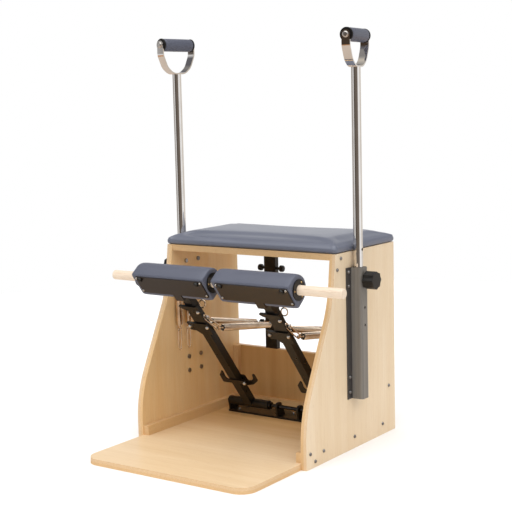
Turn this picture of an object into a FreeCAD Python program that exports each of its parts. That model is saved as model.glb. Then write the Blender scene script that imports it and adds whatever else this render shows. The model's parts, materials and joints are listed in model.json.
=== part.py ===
import FreeCAD, Part
import math
import os
import re
from types import SimpleNamespace
from FreeCAD import Placement, Rotation, Vector

# Pilates chair. X runs to the right, Y to the back and Z up from the floor.
# The origin lies on the floor under the middle of the footprint.

doc = FreeCAD.newDocument("pilates_chair")

# Driving sizes in millimetres

DIMENSIONS = {
    # wooden body; distances to the back are counted from the panels' front edge
    "ply_thickness": 18,
    "body_width": 594,
    "body_height": 570,
    "body_depth": 496,
    "platform_reach": 255,
    "board_corner": 45,
    "lower_knee_height": 141.6,
    "lower_knee_radius": 320,
    "upper_knee_setback": 146.4,
    "upper_knee_drop": 139.7,
    "upper_knee_radius": 300,
    "seat_setback": 165,
    "back_panel_height": 206,
    "cleat_width": 18,
    "cleat_height": 28,
    "cleat_setback": 4,
    # upholstery
    "cushion_height": 38,
    "cushion_corner": 8,
    "cushion_overhang": 3,
    "soft_gap": 0.3,
    # rear spring posts
    "post_width": 43,
    "post_shift": 4,
    "post_wall": 2,
    "peg_low_rise": 80,
    "peg_high_drop": 105,
    "peg_radius": 4,
    "peg_head_radius": 10.5,
    "peg_head_length": 14,
    "peg_head_round": 5,
    "peg_reach": 34,
    # pivot
    "pivot_rear_clear": 98,
    "pivot_height": 54,
    "pivot_base_clear": 34,
    "pivot_base_front": 8,
    "pivot_base_depth": 80,
    "pivot_base_thickness": 6,
    "pivot_base_corner": 6,
    "axle_radius": 6,
    "axle_play": 0.5,
    "collar_radius": 11,
    "collar_length": 7,
    "bracket_thickness": 6,
    "bracket_inset": 5,
    "bracket_half_top": 13,
    "bracket_round": 12,
    "bracket_foot_front": 7,
    "bracket_foot_rear": 34,
    "mid_bracket_offset": 39,
    "running_fit": 0.05,
    # pedals; the rise and the reach give the slope of the arms at rest
    "pedal_rise": 408,
    "pedal_reach": 321,
    "arm_width": 28,
    "arm_depth": 25,
    "arm_short": 26,
    "pivot_tube_radius": 14,
    "pivot_tube_start": 71.5,
    "pedal_gap": 47,
    "pedal_height": 64,
    "pedal_thickness": 3,
    "pedal_corner": 4,
    "pedal_drop": 27,
    "mount_depth": 19,
    "mount_drop": 54,
    "mount_height": 33,
    "dowel_along": 554,
    "dowel_behind": 1,
    "dowel_radius": 14,
    "dowel_length": 795,
    "dowel_offset": 14,
    "dowel_edge": 3,
    "pad_overhang": 10,
    "pad_shift": 5,
    "pad_radius": 43,
    "pad_bore_radius": 16,
    "pad_slot_gap": 2,
    "flange_radius": 29,
    "flange_thickness": 3,
    "horn_plate_thickness": 3,
    "lower_horn_along": 338,
    "lower_horn_height": 50,
    "horn_gap": 4,
    "upper_horn_height": 70,
    "horn_reach": 41,
    "horn_wing_reach": 47,
    "horn_right": 29,
    "horn_lip": 7,
    "claw_along": 112,
    "claw_reach": 43,
    "claw_height": 54,
    "fork_along": 72,
    "fork_reach": 66,
    "fork_height": 59,
    "tine_round": 5,
    "pull_ring_radius": 11,
    "pull_ring_out": 29,
    "pull_ring_behind": 10,
    "pull_ring_along": 447,
    "bolt_head_radius": 6,
    "cap_bolt_radius": 6.5,
    "cap_bolt_height": 6,
    "screw_head_radius": 5,
    "pedal_screw_radius": 3.6,
    "nut_radius": 6.5,
    "nut_height": 4,
    # springs and what holds them
    "stud_offset": 20,
    "stud_left_along": 405,
    "stud_right_along": 400,
    "stud_radius": 4,
    "stud_length": 16,
    "stud_head_radius": 6,
    "spring_left_aim": 381,
    "spring_right_aim": 351,
    "spring_left_lead": 72,
    "spring_right_lead": 51,
    "ring_offset": 27.8,
    "link_radius": 6.5,
    "link_wire_radius": 2,
    "link_straight": 50,
    "eye_radius": 5,
    "eye_gap": 0.3,
    "stem_radius": 2.5,
    "stem_length": 8,
    "plug_radius": 6,
    "plug_length": 14,
    "coil_radius": 9.4,
    "coil_wire_radius": 1.6,
    "anchor_radius": 6.4,
    "anchor_reach": 56,
    "spare_coil_length": 120,
    "spare_anchor_reach": 30,
    "spare_hook_drop": 96,
    "spare_hook_length": 24,
    "spare_hook_offset": 13,
    "spare_front_setback": 172,
    "spare_rear_setback": 216,
    # poles and handles
    "socket_setback": 258,
    "socket_top_drop": 45,
    "socket_height": 375,
    "socket_depth": 38,
    "socket_box_width": 38,
    "socket_flange_width": 80,
    "socket_wall": 3,
    "socket_round": 8,
    "socket_inner_round": 5,
    "guide_height": 23,
    "guide_spacing": 202,
    "pole_radius": 13.5,
    "pole_outset": 18,
    "pole_wall": 2,
    "pole_tail": 85,
    "pole_length": 864,
    "pole_hole_radius": 4,
    "pole_hole_rise": 50,
    "pole_hole_pitch": 60,
    "socket_hole_radius": 4,
    "socket_hole_drop": 164,
    "socket_hole_pitch": 50,
    "strap_width": 25,
    "strap_thickness": 4,
    "strap_half_span": 66.5,
    "strap_shoulder": 56,
    "strap_shoulder_round": 40,
    "strap_waist_span": 49,
    "strap_waist": 18,
    "strap_waist_round": 44,
    "strap_foot_span": 24,
    "strap_foot_round": 40,
    "strap_end_round": 12,
    "strap_end_rise": 13,
    "grip_rise": 87,
    "grip_radius": 19,
    "grip_cap_radius": 19.5,
    "grip_cap_length": 4,
    "grip_bolt_radius": 5,
    "grip_bolt_head_radius": 9,
    "grip_bolt_head_length": 5,
    "grip_bolt_head_round": 4,
    "lock_drop": 35,
    "lock_boss_radius": 10,
    "lock_boss_length": 3,
    "lock_stem_radius": 5,
    "lock_stem_show": 2.5,
    "lock_knob_radius": 26,
    "lock_knob_valley": 22.5,
    "lock_knob_length": 33,
    "lock_lobe_round": 4,
    "lock_valley_round": 5,
}

# Counts, the handles' turn in degrees, and places written as shares of the piece that they lie on

SPRING_TURNS = 20
SPARE_TURNS = 10
KNOB_LOBES = 8
HANDLE_TURN = 7
POLE_HOLES = 3
cushion_shares = ((0, 0.06), (0.08, 0), (0.45, 0), (0.62, 0.1), (0.79, 0.36), (0.92, 0.9), (1, 2.4))
pad_end_shares = ((-1, 0.93), (-0.96, 0.98), (-0.85, 1), (0.85, 1), (0.96, 0.98), (1, 0.93))
socket_screw_shares = (0.052, 0.168, 0.861, 0.968)
socket_screw_side_share = 0.74
panel_screw_shares = (
    (0.388, 0.975), (0.348, 0.922), (0.176, 0.061), (0.513, 0.06),
    (0.843, 0.058), (0.922, 0.248), (0.039, 0.074), (0.088, 0.029),
)
base_screw_shares = ((-0.86, 0.25), (-0.86, 0.8), (-0.06, 0.7), (0.06, 0.7), (0.86, 0.25), (0.86, 0.8))
cap_bolt_shares = (0.855, 0.88)
pedal_screw_shares = ((0.965, 0.15), (0.962, 0.925))
claw_shares = ((-1, 0), (-0.97, 0.62), (-0.6, 1), (-0.48, 1), (-0.55, 0.5), (-0.5, 0.3), (1.1, 0.3), (1.1, 0))
claw_bolt_shares = (0.93, 0.11)
fork_shares = (
    (-0.2, 0), (0.26, 0), (0.64, 0.14), (1, 0.48), (1, 1), (0.88, 1),
    (0.8, 0.62), (0.6, 0.42), (0.41, 0.4), (0.38, 0.83), (-0.2, 0.83),
)
horn_bolt_share = 0.64

sheet = doc.addObject("Spreadsheet::Sheet", "sizes")
for row, (alias, value) in enumerate(DIMENSIONS.items(), start=1):
    sheet.set(f"A{row}", alias)
    sheet.set(f"B{row}", str(value))
    sheet.setAlias(f"B{row}", alias)
doc.recompute()
size = SimpleNamespace(**{alias: float(sheet.get(alias)) for alias in DIMENSIONS})

# Directions

RIGHT = Vector(1, 0, 0)
BACK = Vector(0, 1, 0)
UP = Vector(0, 0, 1)
LEVEL = Rotation()
ALONG_X = Rotation(UP, RIGHT)
ALONG_Y = Rotation(UP, BACK)
TURNED_BACK = Rotation(RIGHT, BACK)
UPRIGHT_SIDE = Rotation(BACK, UP, RIGHT, "ZXY")
UPRIGHT_FRONT = Rotation(RIGHT, UP, -BACK, "ZXY")
LINK_FRONT = Rotation(BACK, -UP, -RIGHT, "ZXY")
LINK_REAR = Rotation(BACK, UP, RIGHT, "ZXY")

half_width = size.body_width / 2
inner_half = half_width - size.ply_thickness
rear_overhang = max(size.peg_head_radius - size.ply_thickness / 2, size.cushion_overhang)
panel_front = (size.platform_reach - size.body_depth - rear_overhang) / 2
base_half = inner_half - size.cleat_width - size.pivot_base_clear
bracket_start = base_half - size.bracket_inset - size.bracket_thickness
tube_outer = bracket_start - size.axle_play
pedal_offset = (tube_outer + size.pivot_tube_start) / 2
tube_rule = ("body_width / 2 - ply_thickness - cleat_width - pivot_base_clear - bracket_inset"
             " - bracket_thickness - axle_play - pivot_tube_start")
tube_length = tube_outer - size.pivot_tube_start
peg_low = size.back_panel_height + size.peg_low_rise
peg_high = size.body_height - size.peg_high_drop
socket_bottom = size.body_height - size.socket_top_drop - size.socket_height
nodes = []


def behind(setback):
    """The Y of a place that lies this far behind the panels' front edge."""
    return panel_front + setback


def at(x, y, z, turn=LEVEL):
    return Placement(Vector(x, y, z), turn)


def rule(text):
    """An expression on the sheet, from one that is written with the plain names."""
    return re.sub(r"[a-z_]+", lambda found: "sizes." + found.group(), text)


def bound(kind, name, place, **rules):
    """A primitive whose sizes follow the sheet."""
    piece = doc.addObject(kind, name)
    for prop, text in rules.items():
        piece.setExpression(prop, rule(text))
    piece.Placement = place
    return piece


def block(name, place, length, width, height):
    return bound("Part::Box", name, place, Length=length, Width=width, Height=height)


def rod(name, place, radius, height):
    return bound("Part::Cylinder", name, place, Radius=radius, Height=height)


def dome(name, place, radius):
    piece = bound("Part::Sphere", name, place, Radius=radius)
    piece.Angle1 = 0
    return piece


def fuse(name, *pieces):
    piece = doc.addObject("Part::MultiFuse", name)
    piece.Shapes = list(pieces)
    return piece


def cut(name, base, *tools):
    piece = doc.addObject("Part::Cut", name)
    piece.Base = base
    piece.Tool = tools[0] if len(tools) == 1 else fuse(name + "_tools", *tools)
    return piece


def gather(name, pieces):
    piece = doc.addObject("Part::Compound", name)
    piece.Links = list(pieces)
    return piece


def node(name, piece):
    """Marks a finished piece of the assembly."""
    piece.Label = name
    nodes.append(piece)
    return piece


def rounded(corners):
    """A closed outline of straight runs, with a tangent arc at each corner that has a radius."""
    runs = []
    for index, (across, along, radius) in enumerate(corners):
        here = Vector(across, along, 0)
        if radius == 0:
            runs.append((here, here, None))
            continue
        before = Vector(*corners[index - 1][:2], 0) - here
        after = Vector(*corners[(index + 1) % len(corners)][:2], 0) - here
        before.normalize()
        after.normalize()
        half_angle = before.getAngle(after) / 2
        reach = radius / math.tan(half_angle)
        inward = (before + after).normalize()
        start = here + before * reach
        end = here + after * reach
        middle = here + inward * (radius / math.sin(half_angle) - radius)
        runs.append((start, end, Part.Arc(start, middle, end)))
    edges = []
    for index, (start, end, arc) in enumerate(runs):
        if arc:
            edges.append(arc)
        following = runs[(index + 1) % len(runs)][0]
        if not end.isEqual(following, size.soft_gap / 100):
            edges.append(Part.LineSegment(end, following))
    return edges


def strip(path, thickness):
    """The closed outline of a bent strip, from its outer side, which turns left all the way."""
    inner = []
    for index, (across, along, radius) in enumerate(path):
        here = Vector(across, along, 0)
        sides = []
        if index > 0:
            sides.append(here - Vector(*path[index - 1][:2], 0))
        if index < len(path) - 1:
            sides.append(Vector(*path[index + 1][:2], 0) - here)
        normals = [UP.cross(side.normalize()) for side in sides]
        inward = (normals[0] + normals[-1]).normalize()
        moved = here + inward * (thickness / inward.dot(normals[0]))
        inner.append((moved.x, moved.y, radius - thickness if radius else 0))
    return rounded(list(path) + inner[::-1])


def circle(across, along, radius):
    return Part.Circle(Vector(across, along, 0), UP, radius)


def sketched_body(name, edges, place):
    body = doc.addObject("PartDesign::Body", name)
    sketch = body.newObject("Sketcher::SketchObject", name + "_outline")
    plane = [feature for feature in body.Origin.OriginFeatures if feature.Role == "XY_Plane"][0]
    sketch.AttachmentSupport = [(plane, "")]
    sketch.MapMode = "FlatFace"
    sketch.addGeometry(edges, False)
    body.Placement = place
    return body, sketch


def plate(name, edges, thickness, place):
    """A flat piece: its outline padded to a thickness."""
    body, sketch = sketched_body(name, edges, place)
    pad = body.newObject("PartDesign::Pad", name + "_pad")
    pad.Profile = sketch
    pad.setExpression("Length", rule(thickness))
    return body


def turned(name, corners, place):
    """A turned piece: its half outline, length and radius, spun about the length."""
    body, sketch = sketched_body(name, rounded(corners), place)
    spin = body.newObject("PartDesign::Revolution", name + "_spin")
    spin.Profile = sketch
    spin.ReferenceAxis = (sketch, ["H_Axis"])
    spin.Angle = 360
    return body


def mirrored_profile(half):
    """A turned outline that is the same at both ends, from its right half, middle first."""
    right = [(-length, radius, corner) for length, radius, corner in half]
    return right[::-1] + list(half)


def solid(name, shape, place):
    piece = doc.addObject("Part::Feature", name)
    piece.Shape = shape
    piece.Placement = place
    return piece


SIDES = (("left", -1), ("right", 1))

# Wooden body

board_front = behind(-size.platform_reach)
back_front = behind(size.body_depth - size.ply_thickness)
board_outline = rounded([
    (-inner_half, board_front, size.board_corner),
    (inner_half, board_front, size.board_corner),
    (inner_half, back_front, 0),
    (-inner_half, back_front, 0),
])
node("base_board", plate("base_board", board_outline, "ply_thickness", at(0, 0, 0)))

panel_outline = rounded([
    (behind(0), 0, 0),
    (behind(0), size.lower_knee_height, size.lower_knee_radius),
    (behind(size.upper_knee_setback), size.body_height - size.upper_knee_drop, size.upper_knee_radius),
    (behind(size.seat_setback), size.body_height, 0),
    (behind(size.body_depth), size.body_height, 0),
    (behind(size.body_depth), 0, 0),
])
for side, start in (("left", -half_width), ("right", inner_half)):
    name = side + "_side_panel"
    node(name, plate(name, panel_outline, "ply_thickness", at(start, 0, 0, UPRIGHT_SIDE)))

inner_width = "body_width - 2 * ply_thickness"
node("back_panel", block(
    "back_panel", at(-inner_half, back_front, 0), inner_width, "ply_thickness", "back_panel_height"))
seat_under = size.body_height - size.ply_thickness
node("seat_board", block(
    "seat_board", at(-inner_half, behind(size.seat_setback), seat_under),
    inner_width, "body_depth - seat_setback", "ply_thickness"))

rear_cleat_front = back_front - size.cleat_width
for side, start in (("left", -inner_half), ("right", inner_half - size.cleat_width)):
    name = side + "_floor_cleat"
    node(name, block(
        name, at(start, behind(size.cleat_setback), size.ply_thickness), "cleat_width",
        "body_depth - ply_thickness - cleat_width - cleat_setback", "cleat_height"))
    name = side + "_corner_cleat"
    node(name, block(
        name, at(start, rear_cleat_front, size.ply_thickness + size.cleat_height),
        "cleat_width", "cleat_width", "back_panel_height - ply_thickness - cleat_height"))
node("rear_floor_cleat", block(
    "rear_floor_cleat", at(-inner_half, rear_cleat_front, size.ply_thickness),
    inner_width, "cleat_width", "cleat_height"))


# Seat cushion: level outlines stacked up to a crowned top

def cushion_wire(share, inset_share):
    inset = inset_share * size.cushion_height
    outset = size.cushion_overhang - inset
    half = half_width + outset
    near = behind(size.seat_setback) - outset
    far = behind(size.body_depth) + outset
    level = size.body_height + size.soft_gap + share * size.cushion_height
    corner = size.cushion_corner + inset / 2
    edges = rounded([
        (-half, near, corner), (half, near, corner), (half, far, corner), (-half, far, corner)])
    wire = Part.Wire([edge.toShape() for edge in edges])
    wire.translate(Vector(0, 0, level))
    return wire


cushion_wires = [cushion_wire(*shares) for shares in cushion_shares]
node("seat_cushion", solid("seat_cushion", Part.makeLoft(cushion_wires, True, True), at(0, 0, 0)))

# Spring posts and their pegs

post_middle = behind(size.body_depth - size.ply_thickness / 2)
peg_end = size.peg_reach + size.peg_head_length
peg_profile = mirrored_profile([
    (size.peg_reach, size.peg_radius, 0),
    (size.peg_reach, size.peg_head_radius, size.peg_head_round / 2),
    (peg_end, size.peg_head_radius, size.peg_head_round),
    (peg_end, 0, 0),
])
post_offset = pedal_offset - size.post_shift
for side, sign in SIDES:
    middle = sign * post_offset
    shell = block(
        side + "_post_shell", at(middle - size.post_width / 2, back_front, size.back_panel_height),
        "post_width", "ply_thickness", "body_height - ply_thickness - back_panel_height")
    hollow = block(
        side + "_post_hollow",
        at(middle - size.post_width / 2 + size.post_wall, back_front + size.post_wall,
           size.back_panel_height),
        "post_width - 2 * post_wall", "ply_thickness - 2 * post_wall",
        "body_height - ply_thickness - back_panel_height")
    bores = []
    pegs = []
    for level, height in (("low", peg_low), ("high", peg_high)):
        start = middle - size.post_width / 2
        bores.append(rod(f"{side}_{level}_bore", at(start, post_middle, height, ALONG_X),
                         "peg_radius", "post_width"))
        pegs.append(turned(f"{side}_{level}_peg", peg_profile, at(middle, post_middle, height)))
    node(side + "_spring_post", cut(side + "_spring_post", shell, hollow, *bores))
    node(side + "_post_pegs", gather(side + "_post_pegs", pegs))

# Pivot: base plate, axle with collars, brackets

pivot_y = rear_cleat_front - size.pivot_rear_clear
base_front = pivot_y - size.pivot_base_front
base_rear = base_front + size.pivot_base_depth
base_outline = rounded([
    (-base_half, base_front, size.pivot_base_corner),
    (base_half, base_front, size.pivot_base_corner),
    (base_half, base_rear, size.pivot_base_corner),
    (-base_half, base_rear, size.pivot_base_corner),
])
node("pivot_base", plate("pivot_base", base_outline, "pivot_base_thickness", at(0, 0, size.ply_thickness)))

collar_end = size.pivot_tube_start - size.axle_play
axle_end = bracket_start + 2 * size.bracket_thickness
axle_profile = mirrored_profile([
    (collar_end - size.collar_length, size.axle_radius, 0),
    (collar_end - size.collar_length, size.collar_radius, 0),
    (collar_end, size.collar_radius, 0),
    (collar_end, size.axle_radius, 0),
    (axle_end, size.axle_radius, 0),
    (axle_end, 0, 0),
])
node("axle", turned("axle", axle_profile, at(0, pivot_y, size.pivot_height)))

bracket_drop = size.pivot_height - size.ply_thickness - size.pivot_base_thickness
bracket_outline = rounded([
    (-size.bracket_foot_front, -bracket_drop, 0),
    (-size.bracket_half_top, 0, 0),
    (-size.bracket_half_top, size.bracket_half_top, size.bracket_round),
    (size.bracket_half_top, size.bracket_half_top, size.bracket_round),
    (size.bracket_foot_rear, -bracket_drop, 0),
]) + [circle(0, 0, size.axle_radius)]
bracket_middle = size.mid_bracket_offset - size.bracket_thickness / 2
bracket_starts = (
    -bracket_start - size.bracket_thickness, -bracket_middle - size.bracket_thickness,
    bracket_middle, bracket_start)
brackets = [
    plate(f"bracket_{index}", bracket_outline, "bracket_thickness",
          at(start, pivot_y, size.pivot_height, UPRIGHT_SIDE))
    for index, start in enumerate(bracket_starts)]
node("axle_brackets", gather("axle_brackets", brackets))


# Springs: a coil of tangent arcs, a link and an eye at the front, an anchor ring at the rear.
# Each is built along its own Z and then laid on its line.

def corner_arc(start, corner, end):
    """The arc that leaves the start towards the corner and reaches the end from it."""
    middle = (start + end) / 2
    half_chord = (start - middle).Length
    rise = corner - middle
    quarter = math.atan2(rise.Length, half_chord) / 2
    return Part.Arc(start, middle + rise.normalize() * half_chord * math.tan(quarter), end)


def coil_wire(turns, length):
    tail = 2 * size.coil_wire_radius
    climb = length / turns / math.tau
    places = []
    for index in range(2 * turns + 1):
        angle = index * math.pi
        point = Vector(
            size.coil_radius * math.cos(angle), size.coil_radius * math.sin(angle), climb * angle)
        heading = Vector(-size.coil_radius * math.sin(angle), size.coil_radius * math.cos(angle), climb)
        places.append((point, heading.normalize()))
    first, first_heading = places[0]
    last, last_heading = places[-1]
    edges = [Part.LineSegment(first - first_heading * tail, first)]
    for (start, leaving), (end, arriving) in zip(places, places[1:]):
        chord = end - start
        turn = leaving + arriving
        square = 2 * leaving.dot(arriving) - 2
        reach = (chord.dot(turn) - math.sqrt(chord.dot(turn) ** 2 - square * chord.dot(chord))) / square
        near = start + leaving * reach
        far = end - arriving * reach
        join = (near + far) / 2
        edges.append(corner_arc(start, near, join))
        edges.append(corner_arc(join, far, end))
    edges.append(Part.LineSegment(last, last + last_heading * tail))
    return Part.Wire([edge.toShape() for edge in edges]), first - first_heading * tail, first_heading


def least_gap(wire, turns):
    """The least clear gap between the turns of a coil, measured on points along it."""
    steps = 24
    points = wire.discretize(Number=turns * steps + 1)
    gaps = [
        (points[index] - other).Length
        for index in range(len(points)) for other in points[index + steps // 2:index + 2 * steps]]
    return min(gaps) - 2 * size.coil_wire_radius


def coil(name, place, turns, length):
    wire, start, heading = coil_wire(turns, length)
    profile = Part.Wire([Part.Circle(start, heading, size.coil_wire_radius).toShape()])
    sweep = Part.BRepOffsetAPI.MakePipeShell(wire)
    sweep.add(profile)
    sweep.build()
    sweep.makeSolid()
    print(f"{name}: {turns} turns, least gap {least_gap(wire, turns):.2f} mm")
    return solid(name, sweep.shape(), place)


def half_ring(name, place, radius):
    piece = bound("Part::Torus", name, place, Radius1=radius, Radius2="link_wire_radius")
    piece.Angle3 = 180
    return piece


def link(name, place, straight):
    """A long oval ring about the local X, its front bend round the local origin."""
    bends = [
        half_ring(name + "_front", place * at(0, 0, 0, LINK_FRONT), "link_radius"),
        half_ring(name + "_rear", place * at(0, 0, straight, LINK_REAR), "link_radius")]
    bars = [
        rod(f"{name}_bar_{index}", place * at(0, offset, 0), "link_wire_radius", str(straight))
        for index, offset in enumerate((-size.link_radius, size.link_radius))]
    return fuse(name, *bends, *bars)


link_lead = size.link_radius - 2 * size.link_wire_radius - size.eye_gap
eye_reach = 2 * size.eye_radius + size.stem_length


def eye(name, place):
    """The front end of a spring that starts at the origin: a ring, a stem and a plug inside the coil."""
    ring_start = -size.stem_length - size.eye_radius
    ring = bound("Part::Torus", name + "_ring", place * at(0, 0, ring_start, ALONG_Y),
                 Radius1="eye_radius", Radius2="link_wire_radius")
    stem = rod(name + "_stem", place * at(0, 0, -size.stem_length), "stem_radius", "stem_length")
    plug = rod(name + "_plug", place, "plug_radius", "plug_length")
    return fuse(name, ring, stem, plug)


def anchor(name, place, reach):
    """The rear end of a spring: a ring about the local X at the origin, a stem and a plug below it."""
    ring = bound("Part::Torus", name + "_ring", place * at(0, 0, 0, ALONG_X),
                 Radius1="anchor_radius", Radius2="link_wire_radius")
    far = getattr(size, reach)
    stem = rod(name + "_stem", place * at(0, 0, -far), "stem_radius", f"{reach} - anchor_radius")
    plug = rod(name + "_plug", place * at(0, 0, -far - size.plug_length), "plug_radius", "plug_length")
    return fuse(name, ring, stem, plug)


def line_frame(front, rear):
    """A placement whose Z runs from the front point to the rear one, and the distance."""
    heading = rear - front
    distance = heading.Length
    heading.normalize()
    across = (RIGHT - heading * RIGHT.dot(heading)).normalize()
    return Placement(front, Rotation(across, heading.cross(across), heading, "ZXY")), distance


# Pedals. In a pedal's own frame X runs across, Y behind the arm and Z along it from the axle.

slope = math.degrees(math.atan2(size.pedal_rise, size.pedal_reach))
PEDAL_TURN = Rotation(RIGHT, 90 - slope)
arm_half = size.arm_width / 2
arm_face = -size.arm_depth / 2
pedal_back = arm_face - size.mount_depth
pedal_bottom = size.dowel_along - size.pedal_drop
pedal_top = pedal_bottom + size.pedal_height
pedal_half = pedal_offset - size.pedal_gap / 2
pad_half = pedal_half + size.pad_overhang
mount_start = size.dowel_along - size.mount_drop
slot_half = arm_half + size.pad_slot_gap
slot_start = size.dowel_along - size.pad_radius - size.pad_slot_gap
arm_rule = "dowel_along - arm_short"
slot_rule = "arm_width + 2 * pad_slot_gap"

pedal_outline = rounded([
    (-pedal_half, pedal_bottom, size.pedal_corner),
    (pedal_half, pedal_bottom, size.pedal_corner),
    (pedal_half, pedal_top, size.pedal_corner),
    (-pedal_half, pedal_top, size.pedal_corner),
])
horn_low = size.lower_horn_along
horn_low_top = horn_low + size.lower_horn_height
horn_high = horn_low_top + size.horn_gap
horn_high_top = horn_high + size.upper_horn_height
wing_low_share, wing_foot_share, wing_neck_share = 0.28, 0.55, 0.26
tip_share, tip_under_share, neck_share, tip_side_share = 0.91, 0.8, 0.68, 0.8
horn_outlines = (
    rounded([
        (size.horn_right, horn_low, size.tine_round),
        (size.horn_right, horn_low_top, 0),
        (-size.horn_wing_reach, horn_low_top, size.tine_round),
        (-size.horn_wing_reach, horn_low + wing_low_share * size.lower_horn_height, size.tine_round),
        (-size.horn_wing_reach * wing_foot_share, horn_low + wing_low_share * size.lower_horn_height, 0),
        (-size.horn_wing_reach * wing_neck_share, horn_low, 0),
    ]),
    rounded([
        (size.horn_right, horn_high, 0),
        (size.horn_right, horn_high_top, 0),
        (-size.horn_reach * tip_side_share, horn_high_top, 0),
        (-size.horn_reach, horn_high + tip_share * size.upper_horn_height, 0),
        (-size.horn_reach * tip_side_share, horn_high + tip_under_share * size.upper_horn_height, 0),
        (-arm_half, horn_high + neck_share * size.upper_horn_height, 0),
        (-arm_half, horn_high, 0),
    ]),
)
lip_share = 0.75
horns_and_lips = (
    (horn_outlines[0], horn_low_top, "horn_wing_reach"),
    (horn_outlines[1], horn_high_top, "horn_reach"),
)
claw_outline = rounded([
    (x * size.claw_reach, size.claw_along + z * size.claw_height, size.tine_round) for x, z in claw_shares])
fork_outline = rounded([
    (x * size.fork_reach, size.fork_along + z * size.fork_height, size.tine_round) for x, z in fork_shares])


def pad_wire(length_share, scale):
    """One cross-section of a pedal pad: flat in front, half round behind the dowel."""
    front = scale * (pedal_back + size.soft_gap - size.dowel_behind)
    radius = scale * size.pad_radius
    edges = rounded([
        (front, -radius, size.tine_round), (radius, -radius, radius),
        (radius, radius, radius), (front, radius, size.tine_round)])
    wire = Part.Wire([edge.toShape() for edge in edges])
    wire.translate(Vector(0, 0, length_share * pad_half))
    return wire


flange_profile = [
    (0, size.dowel_radius + size.running_fit, 0),
    (0, size.flange_radius, 0),
    (size.flange_thickness, size.flange_radius, 0),
    (size.flange_thickness, size.dowel_radius + size.running_fit, 0),
]


def pedal_bolts(side, pedal):
    """Bolt heads on the plates, and the studs that the snap hooks hang on."""
    heads = []
    plate_face = arm_face - size.horn_plate_thickness
    wing_middle = horn_low + horn_bolt_share * size.lower_horn_height
    upper_middle = horn_high + horn_bolt_share * size.upper_horn_height
    right_bolt = size.horn_right - size.bolt_head_radius
    claw_x_share, claw_z_share = claw_bolt_shares
    plate_spots = (
        (right_bolt, wing_middle), (size.bolt_head_radius - size.horn_wing_reach, wing_middle),
        (right_bolt, upper_middle),
        (size.claw_reach * claw_x_share, size.claw_along + claw_z_share * size.claw_height))
    for index, (x, along) in enumerate(plate_spots):
        spot = pedal * at(x, plate_face, along, UPRIGHT_FRONT)
        heads.append(dome(f"{side}_plate_bolt_{index}", spot, "bolt_head_radius"))
    for mirror_name, mirror in SIDES:
        x_share, z_share = cap_bolt_shares
        spot = pedal * at(mirror * pedal_half * x_share, pedal_back - size.pedal_thickness,
                          pedal_bottom + z_share * size.pedal_height, UPRIGHT_FRONT)
        heads.append(rod(f"{side}_{mirror_name}_cap_bolt", spot, "cap_bolt_radius", "cap_bolt_height"))
        for index, (x_share, z_share) in enumerate(pedal_screw_shares):
            spot = pedal * at(mirror * pedal_half * x_share, pedal_back - size.pedal_thickness,
                              pedal_bottom + z_share * size.pedal_height, UPRIGHT_FRONT)
            heads.append(dome(f"{side}_{mirror_name}_pedal_screw_{index}", spot, "pedal_screw_radius"))
    for mirror_name, mirror, along in (
            ("left", -1, size.stud_left_along), ("right", 1, size.stud_right_along)):
        outward = ALONG_X if mirror > 0 else ALONG_X.inverted()
        start = mirror * arm_half
        stud = rod(f"{side}_{mirror_name}_stud", pedal * at(start, 0, along, outward),
                   "stud_radius", "stud_length")
        end = start + mirror * size.stud_length
        head = dome(f"{side}_{mirror_name}_stud_head", pedal * at(end, 0, along, outward), "stud_head_radius")
        heads.append(fuse(f"{side}_{mirror_name}_spring_stud", stud, head))
    return gather(side + "_pedal_bolts", heads)


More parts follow.
